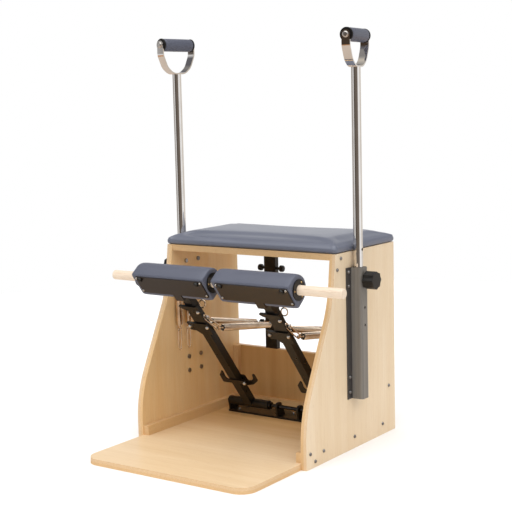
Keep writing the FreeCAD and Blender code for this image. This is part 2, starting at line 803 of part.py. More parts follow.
for side, sign in SIDES:
    pedal = at(sign * pedal_offset, pivot_y, size.pivot_height, PEDAL_TURN)
    tube_place = pedal * at(-tube_length / 2, 0, 0, ALONG_X)
    tube = rod(side + "_pivot_tube", tube_place, "pivot_tube_radius", tube_rule)
    bar = block(side + "_arm_bar", pedal * at(-arm_half, arm_face, 0), "arm_width", "arm_depth", arm_rule)
    bore = rod(side + "_pivot_bore", tube_place, "axle_radius + running_fit", tube_rule)
    node(side + "_arm", cut(side + "_arm", fuse(side + "_arm_weld", tube, bar), bore))

    face = plate(side + "_pedal_face", pedal_outline, "pedal_thickness",
                 pedal * at(0, pedal_back, 0, UPRIGHT_FRONT))
    mount = block(side + "_pedal_mount", pedal * at(-arm_half, pedal_back, mount_start),
                  "arm_width", "mount_depth", "mount_height")
    node(side + "_pedal_plate", fuse(side + "_pedal_plate", face, mount))

    pad_place = pedal * at(-size.pad_shift, size.dowel_behind, size.dowel_along)
    pad_loft = Part.makeLoft([pad_wire(*shares) for shares in pad_end_shares], True, True)
    stuffing = solid(side + "_pad_stuffing", pad_loft, pad_place * at(0, 0, 0, UPRIGHT_SIDE))
    pad_bore = rod(side + "_pad_bore", pad_place * at(-pad_half, 0, 0, ALONG_X),
                   "pad_bore_radius", f"{tube_rule} + 2 * pivot_tube_start - pedal_gap + 2 * pad_overhang")
    mount_slot = block(
        side + "_mount_slot", pedal * at(-slot_half, pedal_back, slot_start), slot_rule,
        "mount_depth + pad_slot_gap", "mount_height - mount_drop + pad_radius + 2 * pad_slot_gap")
    arm_slot = block(
        side + "_arm_slot", pedal * at(-slot_half, arm_face, slot_start), slot_rule,
        "arm_depth + pad_slot_gap", "pad_radius - arm_short + 2 * pad_slot_gap")
    node(side + "_pedal_pad", cut(side + "_pedal_pad", stuffing, pad_bore, mount_slot, arm_slot))

    flange_start = pad_half + size.soft_gap
    flanges = [
        turned(f"{side}_flange_{index}", flange_profile, pad_place * at(x, 0, 0))
        for index, x in enumerate((-flange_start - size.flange_thickness, flange_start))]
    node(side + "_dowel_flanges", gather(side + "_dowel_flanges", flanges))

    horns = []
    for index, (outline, top, reach) in enumerate(horns_and_lips):
        face = plate(f"{side}_horn_face_{index}", outline, "horn_plate_thickness",
                     pedal * at(0, arm_face, 0, UPRIGHT_FRONT))
        lip_place = pedal * at(-getattr(size, reach) * lip_share, arm_face - size.horn_lip,
                               top - size.horn_plate_thickness)
        lip = block(f"{side}_horn_lip_{index}", lip_place,
                    f"horn_right + {reach} * {lip_share}", "horn_lip", "horn_plate_thickness")
        horns.append(fuse(f"{side}_horn_{index}", face, lip))
    node(side + "_spring_plates", gather(side + "_spring_plates", horns))
    cradles = [
        plate(f"{side}_{name}", outline, "horn_plate_thickness", pedal * at(0, y, 0, UPRIGHT_FRONT))
        for name, outline, y in (
            ("claw", claw_outline, arm_face), ("fork", fork_outline, -arm_face + size.horn_plate_thickness))]
    node(side + "_hook_cradle", gather(side + "_hook_cradle", cradles))
    node(side + "_pedal_bolts", pedal_bolts(side, pedal))

    hooks = []
    anchors = []
    for mirror, along, aim, lead in (
            (-1, size.stud_left_along, size.spring_left_aim, size.spring_left_lead),
            (1, size.stud_right_along, size.spring_right_aim, size.spring_right_lead)):
        name = f"{side}_{'outer' if mirror == sign else 'inner'}_spring"
        rear = Vector(sign * post_offset + mirror * size.ring_offset, post_middle, peg_low)
        line, distance = line_frame((pedal * at(mirror * size.stud_offset, 0, aim)).Base, rear)
        coil_place = line * at(0, 0, lead)
        node(name, coil(name, coil_place, SPRING_TURNS, distance - size.anchor_reach - lead))
        hook_place, reach = line_frame(
            (pedal * at(mirror * size.stud_offset, 0, along)).Base, (line * at(0, 0, lead - eye_reach)).Base)
        hooks.append(link(name + "_link", hook_place, reach - link_lead))
        hooks.append(eye(name + "_eye", coil_place))
        anchors.append(anchor(name + "_anchor", line * at(0, 0, distance), "anchor_reach"))
    ring_place = pedal * at(size.pull_ring_out, size.pull_ring_behind, size.pull_ring_along)
    ring = bound("Part::Torus", side + "_pull_ring_loop", Placement(ring_place.Base, ALONG_Y),
                 Radius1="pull_ring_radius", Radius2="link_wire_radius")
    stem_place = pedal * at(arm_half, size.pull_ring_behind, size.pull_ring_along, ALONG_X)
    stem = rod(side + "_pull_ring_stem", stem_place, "stem_radius",
               "pull_ring_out - pull_ring_radius - arm_width / 2")
    hooks.append(fuse(side + "_pull_ring", ring, stem))
    node(side + "_snap_hooks", gather(side + "_snap_hooks", hooks))
    node(side + "_spring_anchors", gather(side + "_spring_anchors", anchors))

dowel_half = size.dowel_length / 2
dowel_profile = [
    (-dowel_half, 0, 0), (-dowel_half, size.dowel_radius, size.dowel_edge),
    (dowel_half, size.dowel_radius, size.dowel_edge), (dowel_half, 0, 0)]
pedal_middle = at(0, pivot_y, size.pivot_height, PEDAL_TURN)
dowel_middle = pedal_middle * at(size.dowel_offset, size.dowel_behind, size.dowel_along)
node("dowel", turned("dowel", dowel_profile, dowel_middle))

# Spare springs on hooks inside the left panel

spare_pieces = []
for which, setback in (("front", size.spare_front_setback), ("rear", size.spare_rear_setback)):
    name = f"{which}_spare_spring"
    top = Vector(-inner_half + size.spare_hook_offset, behind(setback),
                 size.body_height - size.spare_hook_drop)
    coil_start = size.link_straight + link_lead + eye_reach
    drop = coil_start + size.spare_coil_length + size.spare_anchor_reach
    place, distance = line_frame(top - UP * drop, top)
    coil_place = place * at(0, 0, coil_start)
    node(name, coil(name, coil_place, SPARE_TURNS, size.spare_coil_length))
    spare_pieces.append(link(name + "_link", place, size.link_straight))
    spare_pieces.append(eye(name + "_eye", coil_place))
    spare_pieces.append(anchor(name + "_anchor", place * at(0, 0, distance), "spare_anchor_reach"))
    hook_place = at(-inner_half, top.y, top.z, ALONG_X)
    pin = rod(name + "_pin", hook_place, "stud_radius", "spare_hook_length")
    knob = dome(name + "_knob", hook_place * at(0, 0, size.spare_hook_length), "stud_head_radius")
    spare_pieces.append(fuse(name + "_hook", pin, knob))
node("spare_spring_hooks", gather("spare_spring_hooks", spare_pieces))

# Poles in their sockets, with handles and lock knobs. X runs outwards in a socket's own frame.

wall = size.socket_wall
box_half = size.socket_box_width / 2
flange_half = size.socket_flange_width / 2
hollow_half = box_half - wall
hollow_depth = size.socket_depth - wall
socket_outline = rounded([
    (0, -flange_half, 0),
    (wall, -flange_half, 0),
    (wall, -box_half, 0),
    (size.socket_depth, -box_half, size.socket_round),
    (size.socket_depth, box_half, size.socket_round),
    (wall, box_half, 0),
    (wall, flange_half, 0),
    (0, flange_half, 0),
    (0, hollow_half, 0),
    (hollow_depth, hollow_half, size.socket_inner_round),
    (hollow_depth, -hollow_half, size.socket_inner_round),
    (0, -hollow_half, 0),
])
guide_outline = rounded([
    (0, -hollow_half, 0),
    (hollow_depth, -hollow_half, size.socket_inner_round),
    (hollow_depth, hollow_half, size.socket_inner_round),
    (0, hollow_half, 0),
]) + [circle(size.pole_outset, 0, size.pole_radius + size.running_fit)]
strap_top = size.grip_rise + size.strap_end_rise
strap_half = size.strap_half_span
strap_inner = strap_half - size.strap_thickness
strap_outline = strip([
    (-strap_half, strap_top, 0),
    (-strap_half, size.strap_shoulder, size.strap_shoulder_round),
    (-size.strap_waist_span, size.strap_waist, size.strap_waist_round),
    (-size.strap_foot_span, 0, size.strap_foot_round),
    (size.strap_foot_span, 0, size.strap_foot_round),
    (size.strap_waist_span, size.strap_waist, size.strap_waist_round),
    (strap_half, size.strap_shoulder, size.strap_shoulder_round),
    (strap_half, strap_top, 0),
], size.strap_thickness)
strap_envelope = rounded([
    (-size.strap_width / 2, 0, 0),
    (size.strap_width / 2, 0, 0),
    (size.strap_width / 2, strap_top, size.strap_end_round),
    (-size.strap_width / 2, strap_top, size.strap_end_round),
])
grip_half = strap_inner - size.soft_gap
grip_bore = size.grip_bolt_radius + size.running_fit
grip_profile = mirrored_profile([
    (grip_half - size.grip_cap_length, size.grip_radius, 0),
    (grip_half - size.grip_cap_length, size.grip_cap_radius, 0),
    (grip_half, size.grip_cap_radius, 0),
    (grip_half, grip_bore, 0),
])
bolt_end = strap_half + size.grip_bolt_head_length
bolt_profile = mirrored_profile([
    (strap_half, size.grip_bolt_radius, 0),
    (strap_half, size.grip_bolt_head_radius, 0),
    (bolt_end, size.grip_bolt_head_radius, size.grip_bolt_head_round),
    (bolt_end, 0, 0),
])
lobe_corners = []
for index in range(2 * KNOB_LOBES):
    angle = index * math.pi / KNOB_LOBES
    lobe = index % 2 == 0
    radius = size.lock_knob_radius if lobe else size.lock_knob_valley
    corner = size.lock_lobe_round if lobe else size.lock_valley_round
    lobe_corners.append((radius * math.cos(angle), radius * math.sin(angle), corner))
knob_outline = rounded(lobe_corners)

screws = []
for side, sign in SIDES:
    outward = LEVEL if sign > 0 else Rotation(UP, 180)
    socket = at(sign * half_width, behind(size.socket_setback), socket_bottom, outward)
    lock = size.socket_height - size.lock_drop
    lower_guide = size.socket_height - size.guide_height - size.guide_spacing
    hat = plate(side + "_socket_hat", socket_outline, "socket_height", socket)
    boss = rod(side + "_lock_boss", socket * at(size.socket_depth, 0, lock, ALONG_X),
               "lock_boss_radius", "lock_boss_length")
    bores = [rod(side + "_lock_bore", socket * at(hollow_depth, 0, lock, ALONG_X),
                 "lock_stem_radius + running_fit", "socket_wall + lock_boss_length")]
    for index in range(2):
        height = size.socket_height - size.socket_hole_drop + index * size.socket_hole_pitch
        bores.append(rod(f"{side}_socket_hole_{index}", socket * at(hollow_depth, 0, height, ALONG_X),
                         "socket_hole_radius", "socket_wall"))
    node(side + "_pole_socket", cut(side + "_pole_socket", fuse(side + "_socket_weld", hat, boss), *bores))

    guides = [
        plate(f"{side}_guide_{index}", guide_outline, "guide_height", socket * at(0, 0, rise))
        for index, rise in enumerate((lower_guide, size.socket_height - size.guide_height))]
    node(side + "_pole_guides", gather(side + "_pole_guides", guides))

    pole_bottom = lower_guide - size.pole_tail
    pole = socket * at(size.pole_outset, 0, pole_bottom)
    pole_rod = rod(side + "_pole_rod", pole, "pole_radius", "pole_length")
    bores = [rod(side + "_pole_hollow", pole, "pole_radius - pole_wall", "pole_length")]
    for index in range(POLE_HOLES):
        height = size.socket_height + size.pole_hole_rise - index * size.pole_hole_pitch - pole_bottom
        bores.append(rod(f"{side}_pole_hole_{index}", pole * at(0, 0, height, ALONG_X),
                         "pole_hole_radius", "pole_radius"))
    node(side + "_pole", cut(side + "_pole", pole_rod, *bores))

    top = pole * at(0, 0, size.pole_length, Rotation(UP, sign * HANDLE_TURN))
    bend = plate(side + "_strap_bend", strap_outline, "strap_width",
                 top * at(-size.strap_width / 2, 0, 0, UPRIGHT_SIDE))
    envelope = plate(side + "_strap_envelope", strap_envelope, "2 * strap_half_span",
                     top * at(0, strap_half, 0, UPRIGHT_FRONT))
    shaped = doc.addObject("Part::MultiCommon", side + "_strap_shape")
    shaped.Shapes = [bend, envelope]
    bolt_bore = rod(side + "_strap_bore", top * at(0, -strap_half, size.grip_rise, ALONG_Y),
                    "grip_bolt_radius", "2 * strap_half_span")
    node(side + "_handle_strap", cut(side + "_handle_strap", shaped, bolt_bore))
    grip_place = top * at(0, 0, size.grip_rise, TURNED_BACK)
    node(side + "_handle_grip", turned(side + "_handle_grip", grip_profile, grip_place))
    node(side + "_grip_bolt", turned(side + "_grip_bolt", bolt_profile, grip_place))

    knob_start = size.socket_depth + size.lock_boss_length + size.lock_stem_show
    head = plate(side + "_knob_head", knob_outline, "lock_knob_length",
                 socket * at(knob_start, 0, lock, ALONG_X))
    tip = size.pole_outset + size.pole_radius + size.soft_gap
    stem = rod(side + "_knob_stem", socket * at(tip, 0, lock, ALONG_X), "lock_stem_radius",
               "socket_depth + lock_boss_length + lock_stem_show - pole_outset - pole_radius - soft_gap")
    node(side + "_lock_knob", fuse(side + "_lock_knob", head, stem))

    # screw heads on this side
    for index, share in enumerate(socket_screw_shares):
        height = share * size.socket_height
        for mirror_name, mirror in SIDES:
            across = mirror * flange_half * socket_screw_side_share
            spot = socket * at(wall, across, height, ALONG_X)
            screws.append(dome(f"{side}_{mirror_name}_flange_screw_{index}", spot, "screw_head_radius"))
            spot = socket * at(-size.ply_thickness - size.nut_height, across, height, ALONG_X)
            screws.append(rod(f"{side}_{mirror_name}_flange_nut_{index}", spot, "nut_radius", "nut_height"))
    for index, (y_share, z_share) in enumerate(panel_screw_shares):
        spot = at(sign * half_width, behind(y_share * size.body_depth), z_share * size.body_height,
                  outward * ALONG_X)
        screws.append(dome(f"{side}_panel_screw_{index}", spot, "screw_head_radius"))

for index, (x_share, y_share) in enumerate(base_screw_shares):
    spot = at(x_share * base_half, base_front + y_share * size.pivot_base_depth,
              size.ply_thickness + size.pivot_base_thickness)
    screws.append(dome(f"base_screw_{index}", spot, "screw_head_radius"))
node("frame_screws", gather("frame_screws", screws))

# Check every object, then write one file for each piece

doc.recompute()
for item in doc.Objects:
    if "Invalid" in item.State or "Error" in item.State:
        raise RuntimeError(f"{item.Label} did not build: {item.State}")
os.makedirs("parts", exist_ok=True)
for piece in nodes:
    if piece.Shape.isNull() or not piece.Shape.isValid():
        raise RuntimeError(f"{piece.Label} has no valid shape")
    piece.Shape.exportStep(f"parts/{piece.Label}.step")
print(f"{len(nodes)} pieces written")
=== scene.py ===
# %% [markdown]
# # A pilates chair
# The chair is a birch plywood box with a padded seat. Two sprung pedals share a wooden dowel, and
# two chrome poles carry stirrup handles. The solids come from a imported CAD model, so everything here
# is in metres and in the model's own frame: X to the right, Y to the back, Z up.

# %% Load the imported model
import json
import math

import bmesh
import bpy
from mathutils import Matrix, Vector


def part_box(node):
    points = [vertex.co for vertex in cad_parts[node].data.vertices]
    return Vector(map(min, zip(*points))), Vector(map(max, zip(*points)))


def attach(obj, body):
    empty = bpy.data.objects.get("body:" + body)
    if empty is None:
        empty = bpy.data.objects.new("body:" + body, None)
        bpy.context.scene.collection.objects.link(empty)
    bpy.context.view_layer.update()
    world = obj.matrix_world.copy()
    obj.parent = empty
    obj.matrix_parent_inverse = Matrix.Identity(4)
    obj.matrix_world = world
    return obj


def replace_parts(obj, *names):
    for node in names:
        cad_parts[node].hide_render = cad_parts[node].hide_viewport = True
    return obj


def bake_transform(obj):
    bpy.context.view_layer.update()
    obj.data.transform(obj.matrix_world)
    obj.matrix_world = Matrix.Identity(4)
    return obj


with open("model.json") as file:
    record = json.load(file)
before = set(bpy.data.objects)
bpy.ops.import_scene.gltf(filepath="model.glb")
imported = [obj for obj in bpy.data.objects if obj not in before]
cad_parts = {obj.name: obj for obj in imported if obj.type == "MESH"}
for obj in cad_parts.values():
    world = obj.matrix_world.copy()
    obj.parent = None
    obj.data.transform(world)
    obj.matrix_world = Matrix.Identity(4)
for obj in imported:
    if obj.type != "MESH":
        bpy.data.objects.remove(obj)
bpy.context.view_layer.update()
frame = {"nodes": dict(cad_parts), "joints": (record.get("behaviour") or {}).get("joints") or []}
nodes = frame["nodes"]
scene = bpy.context.scene

# %% [markdown]
# ## The camera
# The picture is taken from the front right, a little above the seat, with a long lens. The place and
# the angles were found by matching corners of the boards, so they are written as they came out. A
# camera looks along its own -Z, so its matrix is built from three directions: right, up and back.

# %% Camera
panel_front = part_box("left_side_panel")[0].y
turn, tilt, roll = (math.radians(angle) for angle in (35.28, 7.40, -1.38))
level_right = Vector((math.cos(turn), math.sin(turn), 0))
back = Vector((math.sin(turn) * math.cos(tilt), -math.cos(turn) * math.cos(tilt), math.sin(tilt)))
level_up = back.cross(level_right)
right = level_right * math.cos(roll) + level_up * math.sin(roll)
up = level_up * math.cos(roll) - level_right * math.sin(roll)

camera = bpy.data.objects.new("camera", bpy.data.cameras.new("camera"))
camera.data.sensor_width = 36
camera.data.lens = 84.26
camera.matrix_world = Matrix((right, up, back)).transposed().to_4x4()
camera.matrix_world.translation = Vector((2.0036, panel_front - 2.6244, 0.9950))
scene.collection.objects.link(camera)
scene.camera = camera
print("camera", [round(n, 3) for n in camera.matrix_world.translation])

# %% [markdown]
# ## The studio
# The chair stands on a pale floor in even light. A wide sun gives the soft shadow, because its light
# is the same at any distance and the floor then stays evenly white. The world is white to the camera.
# Polished metal sees another room: white panels with dark strips between them, which put the stripes
# on a chrome tube, a dim ceiling with a softbox straight overhead, which draws the line of light along
# the rim of the seat, and a warm band low down. Mirrors also see a dimmer floor. The handles' straps
# are left out of the sun's light, because they would mirror its wide disc and vanish on the white.

# %% Nodes written as sums
class Wire:
    """A node's output. A sum of wires and numbers adds the Math nodes that work it out."""

    def __init__(self, finish, socket):
        self.finish = finish
        self.socket = socket

    def of(self, name):
        return Wire(self.finish, self.socket.node.outputs[name])

    def math(self, operation, *others):
        return self.finish.node("Math", {"operation": operation}, dict(enumerate((self, *others))))

    def clamped(self):
        """The same value, kept between 0 and 1."""
        self.socket.node.use_clamp = True
        return self

    def __add__(self, other):
        return self.math("ADD", other)

    def __mul__(self, other):
        return self.math("MULTIPLY", other)

    def __sub__(self, other):
        return self.math("SUBTRACT", other)

    def __rsub__(self, other):
        return self * -1 + other

    def __truediv__(self, other):
        return self.math("DIVIDE", other)

    def __mod__(self, other):
        return self.math("MODULO", other)

    def __lt__(self, other):
        return self.math("LESS_THAN", other)

    def __gt__(self, other):
        return self.math("GREATER_THAN", other)

    __radd__ = __add__
    __rmul__ = __mul__


def paint(red, green, blue):
    """A screen colour, 0 to 255, as the linear colour that Blender's sockets take."""
    shares = [channel / 255 for channel in (red, green, blue)]
    return (*[s / 12.92 if s <= 0.04045 else ((s + 0.055) / 1.055) ** 2.4 for s in shares], 1)


class Finish:
    """A material or a world, with one method that adds any node to it."""

    def __init__(self, holder, shader):
        holder.use_nodes = True
        self.holder = holder
        self.tree = holder.node_tree
        self.shader = self.tree.nodes[shader]

    def node(self, kind, settings=None, sockets=None, out=0):
        made = self.tree.nodes.new("ShaderNode" + kind)
        for key, value in (settings or {}).items():
            if key == "stops":
                self.fill_ramp(made.color_ramp, value)
            else:
                setattr(made, key, value)
        self.fill(made, sockets or {})
        return Wire(self, made.outputs[out])

    def fill(self, node, sockets):
        for key, value in sockets.items():
            if isinstance(value, Wire):
                self.tree.links.new(value.socket, node.inputs[key])
            else:
                node.inputs[key].default_value = value

    def fill_ramp(self, ramp, stops):
        while len(ramp.elements) < len(stops):
            ramp.elements.new(1)
        for element, (place, colour) in zip(ramp.elements, stops):
            element.position = place
            element.color = colour

    def mix(self, factor, first, second):
        return self.node("Mix", {"data_type": "RGBA"}, {0: factor, 6: first, 7: second}, out=2)

    def here(self, scale=(1, 1, 1)):
        """The point in the model's frame, with each axis drawn out by its scale."""
        place = self.node("TexCoord", out="Object")
        return self.node("Mapping", {}, {"Vector": place, "Scale": scale})

    def noise(self, place, scale, detail, roughness):
        return self.node("TexNoise", {}, {
            "Vector": place, "Scale": scale, "Detail": detail, "Roughness": roughness})

    def bump(self, height, distance, strength):
        return self.node("Bump", {}, {"Height": height, "Distance": distance, "Strength": strength})


print("sums of wires are ready")

# %% World
WHITE = (1, 1, 1, 1)
CEILING_FROM, CEILING_RISE = 0.22, 3
BAND_BELOW, BAND_FALL = 0.2, -20
studio = Finish(bpy.data.worlds.new("studio"), "Background")
scene.world = studio.holder
direction = studio.node("SeparateXYZ", {}, {0: studio.node("TexCoord", out="Generated")})
bearing = direction.of("Y").math("ARCTAN2", direction.of("X")) / (2 * math.pi) + 1
to_camera = math.atan2(back.y, back.x) / (2 * math.pi)
around = (bearing - (to_camera - 0.5)) % 1
dark, dim, warm = paint(70, 58, 48), paint(106, 98, 90), paint(214, 204, 192)
room = studio.node("ValToRGB", {"stops": [
    (0.0, WHITE), (0.18, paint(142, 134, 126)), (0.215, dim), (0.22, WHITE), (0.25, WHITE),
    (0.255, dark), (0.275, dark), (0.28, WHITE), (0.322, WHITE), (0.328, dark), (0.36, dark),
    (0.39, dim), (0.585, paint(124, 113, 104)), (0.595, WHITE), (0.73, WHITE), (0.75, warm),
    (1.0, WHITE)]}, {0: around})
height = direction.of("Z")
ceiling, softbox, low_band = paint(104, 104, 110), (2.2, 2.2, 2.2, 1), paint(196, 146, 104)
above = studio.node("ValToRGB", {"stops": [
    (0.0, ceiling), (0.6, ceiling), (0.85, paint(178, 174, 168)), (0.92, paint(208, 200, 188)),
    (0.975, paint(228, 221, 210)), (0.985, softbox), (1.0, softbox)]}, {0: height})
raised = ((height - CEILING_FROM) * CEILING_RISE).clamped()
lowered = ((height + BAND_BELOW) * BAND_FALL).clamped()
sky = studio.mix(lowered, studio.mix(raised, room, above), low_band)
overhead = (height * 1.6).clamped()
soft = studio.mix(overhead, paint(132, 132, 134), paint(214, 214, 216))
path = studio.node("LightPath")
mirrored = studio.mix(path.of("Is Glossy Ray"), soft, sky)
studio.fill(studio.shader, {"Color": studio.mix(path.of("Is Camera Ray"), mirrored, WHITE)})
print("world with", len(studio.tree.nodes), "nodes")

# %% Sun and floor
SUN_FROM, SUN_POWER, SUN_WIDTH = Vector((0.15, -0.3, 1)), 2.2, math.radians(95)
FLOOR_RADIUS = 3.2
PAPER, MIRRORED_PAPER = paint(252, 252, 252), paint(196, 182, 168)
sun = bpy.data.objects.new("sun", bpy.data.lights.new("sun", "SUN"))
sun.data.energy = SUN_POWER
sun.data.angle = SUN_WIDTH
sun.matrix_world = SUN_FROM.to_track_quat("Z", "Y").to_matrix().to_4x4()
scene.collection.objects.link(sun)

floor_shape = bmesh.new()
bmesh.ops.create_circle(floor_shape, cap_ends=True, segments=64, radius=FLOOR_RADIUS)
floor = bpy.data.objects.new("floor", bpy.data.meshes.new("floor"))
floor_shape.to_mesh(floor.data)
floor_paper = Finish(bpy.data.materials.new("floor_paper"), "Principled BSDF")
mirrored_floor = floor_paper.node("LightPath").of("Is Glossy Ray")
floor_paper.fill(floor_paper.shader, {
    "Base Color": floor_paper.mix(mirrored_floor, PAPER, MIRRORED_PAPER),
    "Roughness": 0.9, "Specular IOR Level": 0})
floor.data.materials.append(floor_paper.holder)
scene.collection.objects.link(floor)
scene.view_settings.view_transform = "Standard"
print("sun", sun.data.energy, "floor", floor.dimensions.x, "m wide")

# %% Straps out of the sun
SIDES = {"left": -1, "right": 1}
out_of_sun = bpy.data.collections.new("out_of_sun")
for side in SIDES:
    out_of_sun.objects.link(nodes[side + "_handle_strap"])
sun.light_linking.receiver_collection = out_of_sun
for member in out_of_sun.collection_objects:
    member.light_linking.link_state = "EXCLUDE"

# %% [markdown]
# ## Birch plywood
# The boards are 18 mm birch plywood: thin veneers glued with the grain turned at every layer. A solid
# pattern suits it, because the pale face veneer, the striped edges and the dark glue lines then fall
# where they belong on every board. The layer under a point comes from its depth in the board, and the
# grain is noise drawn out along the veneer. Each panel's pale sheet faces outwards. Inside the box the
# left panel's sheet is painted light, a bright warm tan for the light that falls in and bounces off the
# wood, and the back panel's sheet is painted shade, a deep tan, so the sheets are chosen by depth too.
# The base board's top is pale in front and is painted darker to the rear, as the shade under the seat.

# %% Birch plywood
BOARD_THICK, PLIES = 0.018, 13
VENEER = BOARD_THICK / PLIES
FACE_CUT, PITCH, GLUE = 0.0002, 1.05, 0.14
GLUE_LINE, FLECK, OLD_GRAIN = paint(158, 112, 74), paint(176, 132, 88), paint(206, 164, 112)
END_GRAIN = paint(206, 160, 110), paint(236, 200, 152)
REAR_SLOPE, REAR_SHARE = 4, 0.2
AXES = "XYZ"


def stretched(along, fine, coarse):
    """Scales that draw a pattern out along one axis."""
    return tuple(coarse if axis == along else fine for axis in range(3))


PALE = paint(238, 214, 178), paint(248, 229, 200)
TAN = paint(228, 188, 132), paint(242, 210, 160)
# This deep tan is painted shade, inside the box and under the seat.
SHADED_TAN = paint(204, 158, 100), paint(224, 184, 128)
LIT_TAN = paint(246, 206, 146), paint(252, 222, 172)
PALE_TOP_SHEET = paint(236, 206, 162), paint(246, 221, 184)


def birch(board, low_sheet, high_sheet, thick, grain, cross, rear_shade_sheet=None):
    """Plywood for one board. The three axes are its thickness, its face grain and the grain across."""
    finish = Finish(bpy.data.materials.new(board + "_birch"), "Principled BSDF")
    low, high = (corner[thick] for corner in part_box(board))
    spot = finish.node("SeparateXYZ", {}, {0: finish.here()})
    deep = spot.of(AXES[thick])
    layer = (deep - (low - VENEER / 2 + FACE_CUT)) / (VENEER * PITCH)
    turned = layer.math("FLOOR") % 2
    glue = layer.math("FRACT") < GLUE
    broad = finish.noise(finish.here(stretched(grain, 1, 0.06)), 26, 4, 0.55)
    fine = finish.noise(finish.here(stretched(grain, 1, 0.04)), 240, 3, 0.6)
    flecks = finish.noise(finish.here(stretched(grain, 1, 0.12)), 420, 1, 0.4)
    ends = finish.noise(finish.here(stretched(cross, 1, 0.05)), 300, 2, 0.5)
    figure = (broad * 2.2 - 0.6).math("MAXIMUM", 0).math("MINIMUM", 1)
    sheets = [finish.mix(figure, *sheet) for sheet in (low_sheet, high_sheet)]
    # Which sheet shows goes by depth: the inner sheets of the left and back panels carry painted light and
    # painted shade.
    veneer = finish.mix(deep > (low + high) / 2, *sheets)
    # Painted shade: towards the rear the board darkens into the deep tan, as the shade under the seat.
    if rear_shade_sheet:
        rear_shade = (spot.of("Y") * REAR_SLOPE + REAR_SHARE).clamped()
        veneer = finish.mix(rear_shade, veneer, finish.mix(figure, *rear_shade_sheet))
    veneer = finish.mix(fine * 0.32, veneer, OLD_GRAIN)
    veneer = finish.mix((flecks > 0.68) * 0.1, veneer, FLECK)
    end_grain = finish.mix(ends, *END_GRAIN)
    shade = finish.mix(turned, veneer, end_grain)
    shade = finish.mix(glue * 0.3, shade, GLUE_LINE)
    finish.fill(finish.shader, {
        "Base Color": shade, "Roughness": fine * 0.16 + 0.4, "Specular IOR Level": 0.22,
        "Coat Weight": 0.3, "Coat Roughness": 0.25,
        "Normal": finish.bump(fine * 0.6 + flecks * 0.4, 0.0002, 0.4)})
    return finish.holder


def dress(node, material):
    """Gives a carried-over solid its finish by its material slots."""
    nodes[node].data.materials.clear()
    nodes[node].data.materials.append(material)


RIGHT, DEEP, HIGH = range(3)
# LIT_TAN is painted bounce light on the left panel's inner face; the deep tan is painted shade on the back
# panel's inner face and the base board's rear.
BOARDS = {
    "base_board": (TAN, PALE_TOP_SHEET, HIGH, RIGHT, DEEP, SHADED_TAN),
    "seat_board": (TAN, TAN, HIGH, RIGHT, DEEP),
    "back_panel": (SHADED_TAN, PALE, DEEP, HIGH, RIGHT),
    "left_side_panel": (PALE, LIT_TAN, RIGHT, HIGH, DEEP),
    "right_side_panel": (TAN, PALE, RIGHT, HIGH, DEEP),
    "left_floor_cleat": (TAN, TAN, RIGHT, DEEP, HIGH),
    "right_floor_cleat": (TAN, TAN, RIGHT, DEEP, HIGH),
    "rear_floor_cleat": (TAN, TAN, DEEP, RIGHT, HIGH),
    "left_corner_cleat": (TAN, TAN, RIGHT, HIGH, DEEP),
    "right_corner_cleat": (TAN, TAN, RIGHT, HIGH, DEEP)}
for board, sheets_and_axes in BOARDS.items():
    dress(board, birch(board, *sheets_and_axes))
print("birch on", len(BOARDS), "boards")

# %% [markdown]
# ## Metal finishes
# The steel arms, plates and sockets have a glossy powder coat, which is smooth but never flat: a fine
# orange peel breaks up its gloss. Poles and straps are chrome plated, springs and hooks are warm bright
# nickel, and the axle is blackened steel. For plating mainly the roughness changes from place to place,
# where hands have dulled it. On a pole socket the box's coat takes a lighter colour in vertical streaks
# away from the panel: painted highlights, the bands of light on its glossy rounded front.

# %% Powder coat, chrome, nickel, zinc and brass
def coated(name, colour, rub, gloss=0.3, shine=0.4, far_highlight=None, beyond=0):
    """Powder coat. Farther out than beyond, a lighter colour takes over in streaks: a painted highlight."""
    finish = Finish(bpy.data.materials.new(name), "Principled BSDF")
    cloud = finish.noise(finish.here(), 38, 3, 0.6)
    peel = finish.noise(finish.here(), 1500, 1, 0.4)
    coat = finish.mix((cloud * 1.5 - 0.4).math("MAXIMUM", 0), colour, rub)
    if far_highlight:
        out = finish.node("SeparateXYZ", {}, {0: finish.here()}).of("X").math("ABSOLUTE")
        highlight_streaks = finish.noise(finish.here(stretched(HIGH, 1, 0.01)), 120, 2, 0.5)
        # Painted highlight: away from the panel the box takes a lighter colour in vertical streaks, as the
        # bands of light on its glossy rounded front.
        coat = finish.mix(out > beyond, coat, finish.mix(highlight_streaks * 1.2 - 0.2, far_highlight, rub))
    finish.fill(finish.shader, {
        "Base Color": coat, "Roughness": cloud * 0.16 + gloss - 0.08, "Specular IOR Level": shine,
        "Normal": finish.bump(peel, 0.00005, 0.3)})
    return finish.holder


def plated(name, colour, dull, low, high):
    """Bright plating, dulled in places. Its roughness runs from low to high."""
    finish = Finish(bpy.data.materials.new(name), "Principled BSDF")
    smudge = finish.noise(finish.here(), 26, 3, 0.5)
    wear = ((smudge - 0.35) * 2.5).clamped()
    finish.fill(finish.shader, {
        "Base Color": finish.mix(wear, colour, dull), "Metallic": 1.0,
        "Roughness": wear * (high - low) + low})
    return finish.holder


black_coat = coated("black_powder_coat", paint(13, 10, 8), paint(20, 16, 13))
plate_coat = coated("brown_black_plate", paint(36, 26, 19), paint(46, 35, 27), 0.36)
SOCKET_FLANGE = 0.0045
